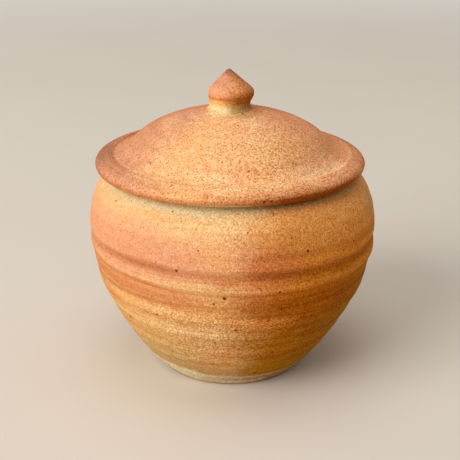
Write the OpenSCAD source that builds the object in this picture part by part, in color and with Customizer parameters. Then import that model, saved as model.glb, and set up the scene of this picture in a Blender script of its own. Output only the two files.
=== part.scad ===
// Wheel-thrown stoneware salt jar with a lift-off lid.
// The jar stands on its foot at z = 0, its axis is Z, and the lid's collar drops into its mouth.

/* [Jar] */
// Widest diameter of the belly
belly_d = 110; // [102:1:124]
// Height of the belly's widest point above the table
belly_z = 58; // [52:1:62]
// Height of the rim, where the lid rests, above the table
rim_z = 79.5; // [76:0.5:88]
// Diameter of the foot
foot_d = 61; // [52:0.5:68]
// Height of the bevel that is cut round the foot
foot_bevel = 1.2; // [0.6:0.1:2]
// Angle at which the wall leaves the foot, above the table
foot_lean = 51; // [44:1:58]
// Length over which the wall keeps that lean
foot_pull = 17.5; // [13:0.5:21]
// Length over which the wall stays upright below the belly
belly_pull = 23; // [18:0.5:27]
// Length over which the wall stays upright above the belly
shoulder_pull = 6.8; // [5:0.2:9]
// Angle at which the shoulder runs into the rim, above the table
shoulder_lean = 24; // [18:1:32]
// Length over which the shoulder keeps that lean
rim_pull = 7.8; // [6:0.2:9]
// Thickness of the wall at the belly
jar_wall = 5; // [4:0.25:6]
// Thickness of the floor
floor_t = 7; // [5:0.5:9]
// Diameter of the flat part of the floor inside
floor_flat_d = 32; // [26:1:38]
// Length over which the inside turns up from the floor
floor_pull = 16; // [13:0.5:18]

/* [Mouth] */
// Inside diameter of the mouth
mouth_d = 78; // [70:1:82]
// Height of the upright wall of the mouth
mouth_h = 4; // [3:0.25:5.5]
// Width of the rim, from the mouth to the shoulder
rim_w = 6.5; // [5.5:0.25:7.5]
// Width of the flat on top of the rim, which carries the lid
land_w = 2.6; // [2:0.1:3.2]
// Rounding of the rim's inner edge
rim_round = 1.5; // [1:0.1:2]
// Depth of the rim's outer shoulder below the flat
rim_drop = 1.3; // [0.9:0.1:1.8]

/* [Throwing marks] */
// Height of the finger groove round the belly above the table
groove_z = 56.6; // [53:0.1:60]
// Depth of the finger groove
groove_depth = 0.7; // [0.3:0.1:1.1]
// Width of the finger groove
groove_w = 5.2; // [3:0.2:6]
// Width of the raised band below the groove
band_w = 4.4; // [4:0.2:7]
// Height that the band's lower edge stands proud
band_step = 0.45; // [0.2:0.05:0.9]
// Width of the step at the band's lower edge
step_w = 1.2; // [1:0.1:2]
// Height of the fine throwing rings
ring_h = 0.1; // [0.04:0.01:0.2]
// Pitch of the fine throwing rings
ring_pitch = 4.4; // [3.6:0.1:6]

/* [Lid] */
// Height of the lid from its seat to the flat under the knob
lid_h = 21.7; // [20:0.1:24]
// How far the brim reaches past the rim
brim_overhang = 5.5; // [4:0.25:7.5]
// Thickness of the brim
brim_t = 4.6; // [4:0.1:5.2]
// Height of the brim's outermost point above the seat
lip_h = 2.5; // [1.8:0.1:2.8]
// Width of the rounding under the brim's edge
lip_round = 2.7; // [2:0.1:3.2]
// How far the brim's top leans in before its edge turns down
lip_lean = 0.4; // [0.2:0.1:1]
// Distance of the bead round the brim from the brim's edge
bead_in = 5.3; // [4.5:0.1:6]
// Height of that bead above the seat
bead_h = 5.6; // [5.3:0.1:6.1]
// Width of the bead's inner slope
bead_w = 1.2; // [0.8:0.1:1.6]
// Rise of the bead's inner slope
bead_rise = 0.3; // [0.1:0.05:0.5]
// Height of the gully inside the bead above the seat
gully_h = 6; // [5.6:0.1:7]
// How far the foot of the dome lies inside the mouth
dome_inset = 1.5; // [0.5:0.25:2.5]
// Height of the foot of the dome above the seat
dome_foot_h = 9.2; // [8.8:0.1:9.8]
// Angle of the dome at its foot
dome_lean = 49; // [42:1:54]
// Length over which the dome keeps that angle
dome_pull = 10.7; // [8:0.2:12]
// Angle of the crown beside the knob
crown_lean = 14; // [10:1:18]
// Length over which the crown keeps that angle
crown_pull = 8.4; // [6:0.2:11]
// Thickness of the dome at its crown
dome_t = 5.5; // [4.5:0.25:6.5]

/* [Collar] */
// Gap all round between the lid's collar and the mouth
collar_gap = 1; // [0.5:0.1:1.5]
// Depth of the collar below the seat
collar_h = 7; // [5:0.25:9]
// Thickness of the collar
collar_t = 3.8; // [3:0.1:4.5]
// Rounding of the collar's lower edges
collar_round = 1.2; // [0.6:0.1:1.4]
// Height above the seat where the hollow starts to close in
hollow_h = 2; // [1:0.25:3]
// Length over which the hollow's wall stays upright
hollow_pull = 5; // [4:0.25:6]
// Radius over which the hollow's top is nearly flat
hollow_flat = 20; // [16:0.5:23]

/* [Knob] */
// Widest diameter of the knob
knob_d = 17.1; // [15.6:0.1:20]
// Diameter of the knob's neck
neck_d = 15.4; // [13:0.1:16]
// Diameter of the flare where the knob is joined to the lid
root_d = 17; // [16:0.25:19]
// Height of the knob above the lid
knob_h = 14.8; // [13.5:0.1:18]
// Height of the knob's neck above the lid
neck_h = 1.8; // [1.1:0.1:2.4]
// Height of the knob's widest point above the lid
knob_mid_h = 6; // [4.6:0.1:7]
// Height over which the knob's widest part is rounded
knob_round = 1.2; // [0.7:0.1:1.5]
// Radius at which the knob's pointed top is blunted
tip_r = 0.4; // [0.3:0.05:0.8]
// Length over which the point is rounded off
tip_round = 1; // [0.5:0.1:1.5]

/* [Hidden] */

$fn = 128;
outline_steps = 56;
shoulder_steps = 18;
inside_steps = 18;
corner_steps = 6;

belly_r = belly_d / 2;
inside_r = belly_r - jar_wall;
foot_r = foot_d / 2;
floor_flat_r = floor_flat_d / 2;
mouth_r = mouth_d / 2;
rim_r = mouth_r + rim_w;
land_in = mouth_r + rim_round;
land_out = land_in + land_w;
band_z = groove_z - groove_w / 2 - band_w;

brim_r = rim_r + brim_overhang;
bead_r = brim_r - bead_in;
dome_r = mouth_r - dome_inset;
collar_r = mouth_r - collar_gap;
collar_z = rim_z - collar_h;
hollow_r = collar_r - collar_t;
crown_z = rim_z + lid_h;

root_r = root_d / 2;
neck_r = neck_d / 2;
knob_r = knob_d / 2;
knob_top_z = crown_z + knob_h;

// A point at a distance from another, in a direction given in degrees
function from(p, distance, angle) = p + distance * [cos(angle), sin(angle)];

// A point at a distance from another, on the way to a third
function towards(p, q, distance) = p + distance * (q - p) / norm(q - p);

// The points of a cubic curve from a to d, with handles b and c
function curve(a, b, c, d, steps) = [
    for (i = [0:steps])
        let (t = i / steps, s = 1 - t)
            s * s * s * a + 3 * s * s * t * b + 3 * s * t * t * c + t * t * t * d
];

// The points of a rounded corner from a to c, which would be sharp at b
function corner(a, b, c) = [
    for (i = [0:corner_steps])
        let (t = i / corner_steps, s = 1 - t)
            s * s * a + 2 * s * t * b + t * t * c
];

// An outline without the points that repeat the one before them
function outline(points) = [
    for (i = [0:len(points) - 1])
        if (i == 0 || norm(points[i] - points[max(i - 1, 0)]) > 0.01) points[i]
];

// How far the marks of the potter's fingers move the jar's outside at a height
function groove(z) = let (u = 2 * (z - groove_z) / groove_w)
    abs(u) < 1 ? -groove_depth * pow(cos(90 * u), 2) : 0;
function band(z) = let (up = z - band_z)
    up < 0 || up > band_w ? 0
    : up < step_w ? band_step * up / step_w
    : band_step * pow(cos(90 * (up - step_w) / (band_w - step_w)), 2);
function rings(z) = ring_h * sin(360 * z / ring_pitch);
function marked(p) = [p.x + groove(p.y) + band(p.y) + rings(p.y), p.y];

module jar_body() {
    foot_edge = [foot_r, foot_bevel];
    belly = [belly_r, belly_z];
    rim_edge = [rim_r, rim_z - rim_drop];
    mouth_foot = [mouth_r, rim_z - mouth_h];
    inner_belly = [inside_r, belly_z];
    floor_edge = [floor_flat_r, floor_t];
    up = [0, 1];
    lower_wall = curve(foot_edge, from(foot_edge, foot_pull, foot_lean),
        belly - belly_pull * up, belly, outline_steps);
    shoulder = curve(belly, belly + shoulder_pull * up,
        from(rim_edge, rim_pull, -shoulder_lean), rim_edge, shoulder_steps);
    inner_shoulder = curve(mouth_foot, from(mouth_foot, rim_pull, -shoulder_lean),
        inner_belly + shoulder_pull * up, inner_belly, inside_steps);
    inner_wall = curve(inner_belly, inner_belly - belly_pull * up,
        floor_edge + [floor_pull, 0], floor_edge, inside_steps);
    color([0.80, 0.55, 0.34])
        rotate_extrude()
            polygon(outline(concat(
                [[0, 0], [foot_r - foot_bevel, 0]],
                [for (p = concat(lower_wall, shoulder)) marked(p)],
                corner(marked(rim_edge), [(rim_r + land_out) / 2, rim_z], [land_out, rim_z]),
                corner([land_in, rim_z], [mouth_r, rim_z], [mouth_r, rim_z - rim_round]),
                inner_shoulder,
                inner_wall,
                [[0, floor_t]])));
}

module lid() {
    crown_edge = [root_r, crown_z];
    dome_foot = [dome_r, rim_z + dome_foot_h];
    gully = [dome_r + (dome_foot_h - gully_h) / tan(dome_lean), rim_z + gully_h];
    bead = [bead_r, rim_z + bead_h];
    bead_foot = bead - [bead_w, bead_rise];
    lip = [brim_r, rim_z + lip_h];
    hollow_foot = [hollow_r, rim_z + hollow_h];
    hollow_top = [0, crown_z - dome_t];
    dome = curve(crown_edge, from(crown_edge, crown_pull, -crown_lean),
        from(dome_foot, dome_pull, 180 - dome_lean), dome_foot, inside_steps);
    hollow = curve(hollow_foot, hollow_foot + [0, hollow_pull],
        hollow_top + [hollow_flat, 0], hollow_top, inside_steps);
    color([0.83, 0.56, 0.37])
        rotate_extrude()
            polygon(outline(concat(
                [[0, crown_z]],
                dome,
                corner(dome_foot, gully, bead_foot),
                corner(bead, [brim_r - lip_lean, rim_z + brim_t], lip),
                corner(lip, [brim_r, rim_z], [brim_r - lip_round, rim_z]),
                [[collar_r, rim_z]],
                corner([collar_r, collar_z + collar_round], [collar_r, collar_z],
                    [collar_r - collar_round, collar_z]),
                corner([hollow_r + collar_round, collar_z], [hollow_r, collar_z],
                    [hollow_r, collar_z + collar_round]),
                hollow)));
}

module lid_knob() {
    neck = [neck_r, crown_z + neck_h];
    widest = [knob_r, crown_z + knob_mid_h];
    turn = widest + [0, knob_round];
    tip = [tip_r, knob_top_z];
    swell = (knob_mid_h - neck_h) / 2;
    color([0.78, 0.47, 0.32])
        rotate_extrude()
            polygon(outline(concat(
                [[0, crown_z]],
                corner([root_r, crown_z], [neck_r, crown_z], neck),
                curve(neck, neck + [0, swell], widest - [0, swell], widest, 2 * corner_steps),
                corner(widest, turn, towards(turn, tip, knob_round)),
                corner(towards(tip, turn, tip_round), tip, [0, knob_top_z]))));
}

jar_body();
lid();
lid_knob();
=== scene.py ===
# %% [markdown]
# # A thrown salt jar in Blender
# The object is a round stoneware jar with a loose domed lid and a pointed knob, three pieces of fired clay.
# All three were made on a wheel, so here they are thrown too: each one is an outline that is spun round
# the jar's axis. A spun mesh is clean and even, and its rings lie where the fingers ran on the real wall.
# The packed model is loaded first, as a frame that nothing here may move.

# %% Load the frame
import math

import bmesh
import bpy
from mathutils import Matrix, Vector, noise
from mathutils.geometry import interpolate_bezier


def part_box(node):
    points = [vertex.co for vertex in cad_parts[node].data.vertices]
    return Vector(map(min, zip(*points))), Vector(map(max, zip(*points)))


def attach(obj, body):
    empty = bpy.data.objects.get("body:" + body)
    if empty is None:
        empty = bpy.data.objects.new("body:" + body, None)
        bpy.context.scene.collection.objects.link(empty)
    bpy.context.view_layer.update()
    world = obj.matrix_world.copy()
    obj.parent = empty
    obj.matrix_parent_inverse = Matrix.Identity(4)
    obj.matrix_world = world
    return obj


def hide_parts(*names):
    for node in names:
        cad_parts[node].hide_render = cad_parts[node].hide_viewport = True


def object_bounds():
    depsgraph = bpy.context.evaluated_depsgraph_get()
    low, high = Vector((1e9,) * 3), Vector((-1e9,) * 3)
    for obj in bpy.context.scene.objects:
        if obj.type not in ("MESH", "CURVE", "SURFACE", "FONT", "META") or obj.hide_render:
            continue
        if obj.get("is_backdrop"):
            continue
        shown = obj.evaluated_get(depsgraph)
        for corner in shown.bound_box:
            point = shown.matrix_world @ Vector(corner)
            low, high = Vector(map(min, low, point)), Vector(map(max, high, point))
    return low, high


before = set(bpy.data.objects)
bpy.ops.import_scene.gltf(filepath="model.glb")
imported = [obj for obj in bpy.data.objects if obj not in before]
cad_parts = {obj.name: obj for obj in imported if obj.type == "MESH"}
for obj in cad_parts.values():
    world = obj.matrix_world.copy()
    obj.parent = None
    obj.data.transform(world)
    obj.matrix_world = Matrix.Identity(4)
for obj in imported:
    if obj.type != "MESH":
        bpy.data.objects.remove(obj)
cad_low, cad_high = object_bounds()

MM = 0.001

# %% [markdown]
# ## The camera
# The photograph looks down on the jar from a little above the knob, from close by, so the lid shows as a
# wide oval and the foot as a narrow one. A camera that stands further off with a longer lens would flatten
# both ovals. The height, the distance and the tilt were found by matching the rim, belly and foot.

# %% Camera
CAMERA_SIDE = -0.5 * MM
CAMERA_AWAY = 330 * MM
CAMERA_HEIGHT = 181.5 * MM
CAMERA_TILT = 21.4
PICTURE_PIXELS = 460
FOCAL_PIXELS = 900
SENSOR = 36
NEAREST = 10 * MM

camera_data = bpy.data.cameras.new("camera")
camera_data.sensor_width = SENSOR
camera_data.lens = FOCAL_PIXELS / PICTURE_PIXELS * SENSOR
camera_data.clip_start = NEAREST
camera = bpy.data.objects.new("camera", camera_data)
camera.location = (CAMERA_SIDE, -CAMERA_AWAY, CAMERA_HEIGHT)
camera.rotation_euler = (math.radians(90 - CAMERA_TILT), 0, 0)
bpy.context.scene.collection.objects.link(camera)
bpy.context.scene.camera = camera
print("lens", round(camera_data.lens, 2), "mm")

# %% [markdown]
# ## The light
# Daylight from a window on the left makes the left of the jar bright and lets the right fall into a warm
# half shade with a soft edge. A small lamp would draw a hard edge there, so a large low area lamp stands
# for the window, and a weaker one overhead lights the lid. They stay at a plain level, so that a colour
# renders about as it is written.

# %% Lamps
WINDOW_SIDE = -53
WINDOW_UP = 30
WINDOW_AWAY = 2.4
WINDOW_SIZE = 1.6
WINDOW_WATTS = 40.0
TOP_UP = 88
TOP_AWAY = 2.0
TOP_SIZE = 1.5
TOP_WATTS = 9.0
LAMP_COLOUR = (1.0, 0.97, 0.93)


def round_the_jar(side, radius, height):
    """A point at an angle from the front, in degrees and counted to the right, round the jar's axis."""
    turn = math.radians(side)
    return Vector((radius * math.sin(turn), -radius * math.cos(turn), height))


def soft_lamp(name, side, up, away, size, watts):
    """A square area lamp that looks at the jar, from an angle round it and an angle above the table."""
    lamp_data = bpy.data.lights.new(name, "AREA")
    lamp_data.size = size
    lamp_data.energy = watts
    lamp_data.color = LAMP_COLOUR
    lamp = bpy.data.objects.new(name, lamp_data)
    lean = math.radians(up)
    lamp.location = round_the_jar(side, away * math.cos(lean), away * math.sin(lean))
    lamp.rotation_euler = lamp.location.to_track_quat("Z", "Y").to_euler()
    bpy.context.scene.collection.objects.link(lamp)
    print(name, "at", [round(v, 2) for v in lamp.location])


soft_lamp("window_light", WINDOW_SIDE, WINDOW_UP, WINDOW_AWAY, WINDOW_SIZE, WINDOW_WATTS)
soft_lamp("top_light", WINDOW_SIDE, TOP_UP, TOP_AWAY, TOP_SIZE, TOP_WATTS)

# %% [markdown]
# ## Writing a finish
# A finish is a tree of shader nodes, and writing one node takes five lines. The class Recipe takes that
# work over: each method adds one node and hands back its output. The room is written with it too. Colours
# are written as they look on a screen, from 0 to 255, and turned into the light values that shaders use.

# %% Screen colours
def fired(red, green, blue):
    """A colour as it looks on a screen, turned by the sRGB curve into the light that a shader takes."""
    def light(value):
        share = value / 255
        return share / 12.92 if share <= 0.04045 else ((share + 0.055) / 1.055) ** 2.4
    return (light(red), light(green), light(blue), 1.0)


print("white as light", fired(255, 255, 255)[0])

# %% Node recipes
class Recipe:
    """A tree of shader nodes while it is being written."""

    def __init__(self, tree):
        self.tree = tree

    def feed(self, socket, value):
        if isinstance(value, bpy.types.NodeSocket):
            self.tree.links.new(value, socket)
        else:
            socket.default_value = value

    def add(self, kind, inputs=None, output=0, **options):
        node = self.tree.nodes.new(kind)
        for option, value in options.items():
            setattr(node, option, value)
        for socket, value in (inputs or {}).items():
            self.feed(node.inputs[socket], value)
        return node.outputs[output]

    def maths(self, operation, first, second=0.0):
        return self.add("ShaderNodeMath", {0: first, 1: second}, operation=operation)

    def times(self, first, second):
        return self.maths("MULTIPLY", first, second)

    def vector(self, operation, first, second=(0.0, 0.0, 0.0), output=0):
        return self.add("ShaderNodeVectorMath", {0: first, 1: second}, output, operation=operation)

    def ramp(self, value, start, end, low=0.0, high=1.0):
        limits = {"Value": value, "From Min": start, "From Max": end, "To Min": low, "To Max": high}
        return self.add("ShaderNodeMapRange", limits, interpolation_type="SMOOTHSTEP")

    def mix(self, share, under, over, blend="MIX"):
        inputs = {0: share, 6: under, 7: over}
        return self.add("ShaderNodeMix", inputs, 2, data_type="RGBA", blend_type=blend)

    def tint(self, share, under, over):
        return self.mix(share, under, over, "MULTIPLY")

    def cloud(self, where, scale, detail=2.0, rough=0.55, output=0):
        inputs = {"Vector": where, "Scale": scale, "Detail": detail, "Roughness": rough}
        return self.add("ShaderNodeTexNoise", inputs, output)

    def seen(self):
        """1 for what the camera sees, straight or in a mirror or glass, and 0 for light on the jar."""
        seen = self.add("ShaderNodeLightPath", output="Is Camera Ray")
        rays = seen.node.outputs
        for kind in ("Is Glossy Ray", "Is Transmission Ray"):
            seen = self.maths("MAXIMUM", seen, rays[kind])
        return seen


class Finish(Recipe):
    """The recipe of a material."""

    def __init__(self, name):
        self.material = bpy.data.materials.new(name)
        self.material.use_nodes = True
        super().__init__(self.material.node_tree)
        self.shader = self.tree.nodes["Principled BSDF"]
        self.place = self.add("ShaderNodeTexCoord", output="Object")


print("a recipe can", [name for name in vars(Recipe) if name[0] != "_"])

# %% [markdown]
# ## The room
# A pale world fills the shade. A stronger one would give a paler backdrop too, but it would also light the
# jar more, and a backdrop is no reason to add light. So the Light Path node splits it: the camera sees a
# pale room, and a dimmer one lights the jar. Mirrors and glass would show the pale room as well.

# %% World
FILL_COLOUR = (1.0, 0.93, 0.86, 1.0)
FILL_STRENGTH = 0.36
BACKDROP_COLOUR = (0.86, 0.84, 0.80, 1.0)

world = bpy.data.worlds.new("room")
world.use_nodes = True
bpy.context.scene.world = world
room = Recipe(world.node_tree)
fill = room.tree.nodes["Background"]
fill.inputs["Color"].default_value = FILL_COLOUR
fill.inputs["Strength"].default_value = FILL_STRENGTH
backdrop = room.add("ShaderNodeBackground", {"Color": BACKDROP_COLOUR})
split = room.add("ShaderNodeMixShader", {0: room.seen(), 1: fill.outputs[0], 2: backdrop})
room.feed(room.tree.nodes["World Output"].inputs["Surface"], split)
bpy.context.scene.view_settings.view_transform = "Standard"
print("fill", FILL_STRENGTH)

# %% [markdown]
# ## The floor
# The jar stands on a plain pale table. A wide disc with a faint cloud in its colour is enough, and it
# takes the jar's soft shadow. A table as pale as this would throw much light up under the belly, so only
# the camera sees it pale: the light that bounces off it meets a deeper, warmer tone. Further off, it fades
# into the backdrop for the camera, which hides the edge where the two meet. It is marked as stage, so it
# is no part of the object.

# %% Floor
FLOOR_RADIUS = 4.0
FLOOR_STEPS = 96
FLOOR_PALE = fired(236, 230, 220)
FLOOR_DEEP = fired(230, 223, 212)
FLOOR_BOUNCE = fired(205, 176, 142)
FLOOR_PATCHES = 9.0
FLOOR_ROUGH = 0.9
FLOOR_SHINE = 0.1
FADE_FROM = 0.5
FADE_TO = 2.2


def floor_finish():
    finish = Finish("pale_table")
    patchy = finish.cloud(finish.place, FLOOR_PATCHES, detail=3.0)
    pale = finish.mix(patchy, FLOOR_DEEP, FLOOR_PALE)
    seen = finish.seen()
    finish.feed(finish.shader.inputs["Base Color"], finish.mix(seen, FLOOR_BOUNCE, pale))
    finish.shader.inputs["Roughness"].default_value = FLOOR_ROUGH
    finish.shader.inputs["Specular IOR Level"].default_value = FLOOR_SHINE
    away = finish.vector("LENGTH", finish.place, output="Value")
    faded = finish.times(finish.ramp(away, FADE_FROM, FADE_TO), seen)
    backdrop = finish.add("ShaderNodeEmission", {"Color": BACKDROP_COLOUR})
    fading = finish.add("ShaderNodeMixShader", {0: faded, 1: finish.shader.outputs[0], 2: backdrop})
    finish.feed(finish.tree.nodes["Material Output"].inputs["Surface"], fading)
    return finish.material


floor_bm = bmesh.new()
bmesh.ops.create_circle(floor_bm, cap_ends=True, segments=FLOOR_STEPS, radius=FLOOR_RADIUS)
floor_mesh = bpy.data.meshes.new("table_top")
floor_bm.to_mesh(floor_mesh)
floor_bm.free()
floor = bpy.data.objects.new("table_top", floor_mesh)
floor_mesh.materials.append(floor_finish())
bpy.context.scene.collection.objects.link(floor)
floor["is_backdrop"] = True
print("floor", FLOOR_RADIUS, "m")

# %% [markdown]
# ## Throwing a piece
# On the wheel a potter shapes one side of the wall and the turning does the rest. Here an outline is drawn
# from the axis outwards and back again, as a few curves with handles, and bmesh spins it a full turn.
# Each stretch of the outline also says how bare its clay is: 0 where the flame coloured it, 1 where the
# lid or the kiln shelf kept the flame away. The spin copies that number along with each point, and the
# finish reads it later as an attribute.

# %% Throwing helpers
BARE = "bare"
MERGE_WITHIN = 1e-6


def at(radius, height):
    return Vector((radius, 0, height))


def leaning(start, length, degrees):
    turn = math.radians(degrees)
    return start + at(length * math.cos(turn), length * math.sin(turn))


def straight(start, end, count):
    return [start.lerp(end, step / (count - 1)) for step in range(count)]


def rounded(start, corner, end, count):
    """A curve that leaves start and reaches end along the lines to the corner between them."""
    return interpolate_bezier(start, start.lerp(corner, 2 / 3), end.lerp(corner, 2 / 3), end, count)


def throw(stretches, steps):
    """Spins an outline of (points, bareness at its start, bareness at its end) into a closed bmesh."""
    bm = bmesh.new()
    bare = bm.verts.layers.float.new(BARE)
    last = None
    for points, bare_start, bare_end in stretches:
        for index, point in enumerate(points):
            if last is not None and (point - last.co).length < MERGE_WITHIN:
                continue
            vert = bm.verts.new(point)
            share = index / (len(points) - 1)
            vert[bare] = bare_start + (bare_end - bare_start) * share
            if last is not None:
                bm.edges.new((last, vert))
            last = vert
    bmesh.ops.spin(
        bm, geom=bm.verts[:] + bm.edges[:], cent=(0, 0, 0), axis=(0, 0, 1),
        angle=math.tau, steps=steps, use_merge=True,
    )
    bmesh.ops.remove_doubles(bm, verts=bm.verts[:], dist=MERGE_WITHIN)
    bmesh.ops.recalc_face_normals(bm, faces=bm.faces[:])
    return bm


print("points within", MERGE_WITHIN, "m are merged")

# %% [markdown]
# ## The outline of the jar
# The jar stands on a flat foot cut free with a wire. The wall swells from there to a belly that sits high,
# turns in over a short shoulder and ends in a rim, whose flat top carries the lid. Inside, the wall is
# about 5 mm thick. The overall radius and height come from the frame, and the handles that shape the curve
# are named sizes.

# %% Jar outline
_, jar_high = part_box("jar_body")
belly_r = jar_high.x
rim_z = jar_high.z
BELLY_Z = 58 * MM
FOOT_R = 30.5 * MM
FOOT_BEVEL = 1.2 * MM
FOOT_LEAN = 51
FOOT_PULL = 17.5 * MM
BELLY_PULL = 23 * MM
SHOULDER_PULL = 6.8 * MM
SHOULDER_LEAN = 24
RIM_PULL = 7.8 * MM
RIM_R = 45.5 * MM
RIM_DROP = 1.3 * MM
RIM_ROUND = 1.5 * MM
LAND_IN = 40.5 * MM
LAND_OUT = 43.1 * MM
MOUTH_R = 39 * MM
MOUTH_H = 4 * MM
INSIDE_R = 50 * MM
FLOOR_Z = 7 * MM
FLOOR_FLAT_R = 16 * MM
FLOOR_PULL = 16 * MM

foot_edge = at(FOOT_R, FOOT_BEVEL)
belly = at(belly_r, BELLY_Z)
rim_edge = at(RIM_R, rim_z - RIM_DROP)
mouth_foot = at(MOUTH_R, rim_z - MOUTH_H)
inner_belly = at(INSIDE_R, BELLY_Z)
floor_edge = at(FLOOR_FLAT_R, FLOOR_Z)

lower_wall = interpolate_bezier(
    foot_edge, leaning(foot_edge, FOOT_PULL, FOOT_LEAN), belly - at(0, BELLY_PULL), belly, 110)
shoulder = interpolate_bezier(
    belly, belly + at(0, SHOULDER_PULL), leaning(rim_edge, RIM_PULL, -SHOULDER_LEAN), rim_edge, 44)
rim_corner = at((RIM_R + LAND_OUT) / 2, rim_z)
rim_outside = rounded(rim_edge, rim_corner, at(LAND_OUT, rim_z), 8)
rim_inside = rounded(at(LAND_IN, rim_z), at(MOUTH_R, rim_z), at(MOUTH_R, rim_z - RIM_ROUND), 8)
inner_shoulder = interpolate_bezier(
    mouth_foot, leaning(mouth_foot, RIM_PULL, -SHOULDER_LEAN),
    inner_belly + at(0, SHOULDER_PULL), inner_belly, 18)
inner_wall = interpolate_bezier(
    inner_belly, inner_belly - at(0, BELLY_PULL), floor_edge + at(FLOOR_PULL, 0), floor_edge, 36)

jar_outline = [
    (straight(at(0, 0), at(FOOT_R - FOOT_BEVEL, 0), 36), 1, 1),
    (straight(at(FOOT_R - FOOT_BEVEL, 0), foot_edge, 4), 1, 0),
    (lower_wall, 0, 0),
    (shoulder, 0, 0),
    (rim_outside, 0, 1),
    (rim_inside, 1, 1),
    (inner_shoulder, 1, 1),
    (inner_wall, 1, 1),
    (straight(floor_edge, at(0, FLOOR_Z), 8), 1, 1),
]
print("belly", round(belly_r / MM, 2), "rim", round(rim_z / MM, 2))

# %% [markdown]
# ## Finger marks on the jar
# A thrown wall is never quite even. Below the shoulder a finger pressed a groove, hard at some sides and
# lightly at others, and on this jar the marks run down a little towards the right. They could be painted
# as bump, but the groove breaks the jar's outline, so the points themselves are moved. Two functions say
# how hard the finger pressed at a side, and how high a mark lay on the wheel before it ran down.

# %% Groove and slope
GROOVE_Z = 56.6 * MM
PRESSURE = [
    (-180, 0.6), (-80, 0.2), (-60, 0.55), (-42, 1.0), (-27, 1.0), (-14, 0.5), (0, 0.5), (13, 0.9),
    (32, 0.75), (60, 0.65), (180, 0.6),
]
BAND_Z = 49.6 * MM
DIP = 2.2 * MM
BAND_DIP = 0.6
DIP_FROM = -40
DIP_TO = 75
DIP_BACK = 105
LIFT_SIDE = -70
LIFT_HALF = 60
LIFT = 1.5 * MM


def side_of(point):
    """The angle from the front, in degrees and counted to the right."""
    return math.degrees(math.atan2(point.x, -point.y))


def hump(value):
    """A soft rise from 0 to 1 and back, for values from -1 to 1."""
    return math.cos(math.radians(90 * value)) ** 2 if abs(value) < 1 else 0.0


def rise(value, start, end):
    """0 before start, 1 after end, and an even S between them."""
    share = min(max((value - start) / (end - start), 0.0), 1.0)
    return share * share * (3 - 2 * share)


def pressure(side):
    """How hard the finger pressed the groove at a side, from 0 to 1."""
    for (start, low), (end, high) in zip(PRESSURE, PRESSURE[1:]):
        if side <= end:
            return low + (high - low) * rise(side, start, end)
    return high


def turned_height(side, height):
    """The height of a mark on the wheel: marks run down to the right, and the band lifts on the left."""
    dip = DIP * rise(side, DIP_FROM, DIP_TO) * (1 - rise(side, DIP_BACK, 180))
    dip *= BAND_DIP + (1 - BAND_DIP) * rise(height, BAND_Z, GROOVE_Z)
    lift = LIFT * hump((side - LIFT_SIDE) / LIFT_HALF)
    return height + dip - lift * hump((height - BAND_Z) / (GROOVE_Z - BAND_Z))


print("the groove runs down", round((turned_height(DIP_TO, GROOVE_Z) - GROOVE_Z) / MM, 2), "mm")

# %% [markdown]
# ## The band, the ridges and the rings
# Under the groove stands a raised band with a crisp lower step, faint in front and soft on the far left.
# Below it the wall dips in and swells out again, with ridges 8 mm apart where the clay was pulled up, and
# fine uneven rings cover the whole wall. One function adds up how far all of these stand out at a point,
# so that an iron spot can later be set on the very same surface.

# %% Marks on the wall
GROOVE_DEPTH = 0.65 * MM
GROOVE_HALF = 2.6 * MM
BAND_W = 5.2 * MM
BAND_STEP = 0.5 * MM
BAND_STEP_W = 0.9 * MM
BAND_FAINT_SIDE = -6
BAND_FAINT_HALF = 36
BAND_FAINT = 0.35
BAND_SOFT_SIDE = -80
BAND_SOFT_HALF = 50
BAND_SOFT = 0.5
HOLLOW_Z = 46 * MM
HOLLOW_HALF = 4.5 * MM
HOLLOW_DEPTH = 0.25 * MM
SWELL_Z = 37 * MM
SWELL_HALF = 9 * MM
SWELL = 0.4 * MM
PULL_PITCH = 8 * MM
PULL_CREST_Z = 37 * MM
PULL_DEPTH = 0.09 * MM
PULL_Z = 26 * MM
PULL_HALF = 22 * MM
RING_PITCH = 2.6 * MM
RING_DEPTH = 0.16 * MM
QUIET = 6 * MM


def ring_noise(point, pitch, wander=14.0):
    """Uneven rings round the axis, from about -1 to 1, that follow the height of a point."""
    return noise.noise(Vector((point.x * wander, point.y * wander, point.z / pitch)))


def wall_mark(point):
    """How far the outer wall stands out from the plain curve at a point."""
    side = side_of(point)
    z = turned_height(side, point.z)
    mark = -GROOVE_DEPTH * pressure(side) * hump((z - GROOVE_Z) / GROOVE_HALF)
    band = rise(z, BAND_Z, BAND_Z + BAND_STEP_W) * (1 - rise(z, BAND_Z + BAND_STEP_W, BAND_Z + BAND_W))
    faint = 1 - BAND_FAINT * hump((side - BAND_FAINT_SIDE) / BAND_FAINT_HALF)
    soft = 1 - BAND_SOFT * hump((side - BAND_SOFT_SIDE) / BAND_SOFT_HALF)
    mark += BAND_STEP * faint * soft * band
    mark -= HOLLOW_DEPTH * soft * hump((z - HOLLOW_Z) / HOLLOW_HALF)
    mark += SWELL * hump((z - SWELL_Z) / SWELL_HALF)
    crest = math.cos(math.tau * (z - PULL_CREST_Z) / PULL_PITCH)
    mark += PULL_DEPTH * crest * hump((z - PULL_Z) / PULL_HALF)
    mark += RING_DEPTH * ring_noise(point, RING_PITCH)
    return mark * rise(point.z, FOOT_BEVEL, QUIET) * (1 - rise(point.z, rim_z - QUIET, rim_z))


crest_in_front = round_the_jar(0, belly_r, BAND_Z + BAND_STEP_W)
print("in front the band stands out", round(wall_mark(crest_in_front) / MM, 2), "mm")

# %% [markdown]
# ## Throwing the jar
# Now the outline is spun and its points are moved. The belly swings a little to one side, as clay does
# when the wheel slows, and the wire that cut the jar free left curved ridges under the foot. Each point
# also keeps two numbers for its colours: its height on the wheel, and how hard the finger pressed there.

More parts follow.
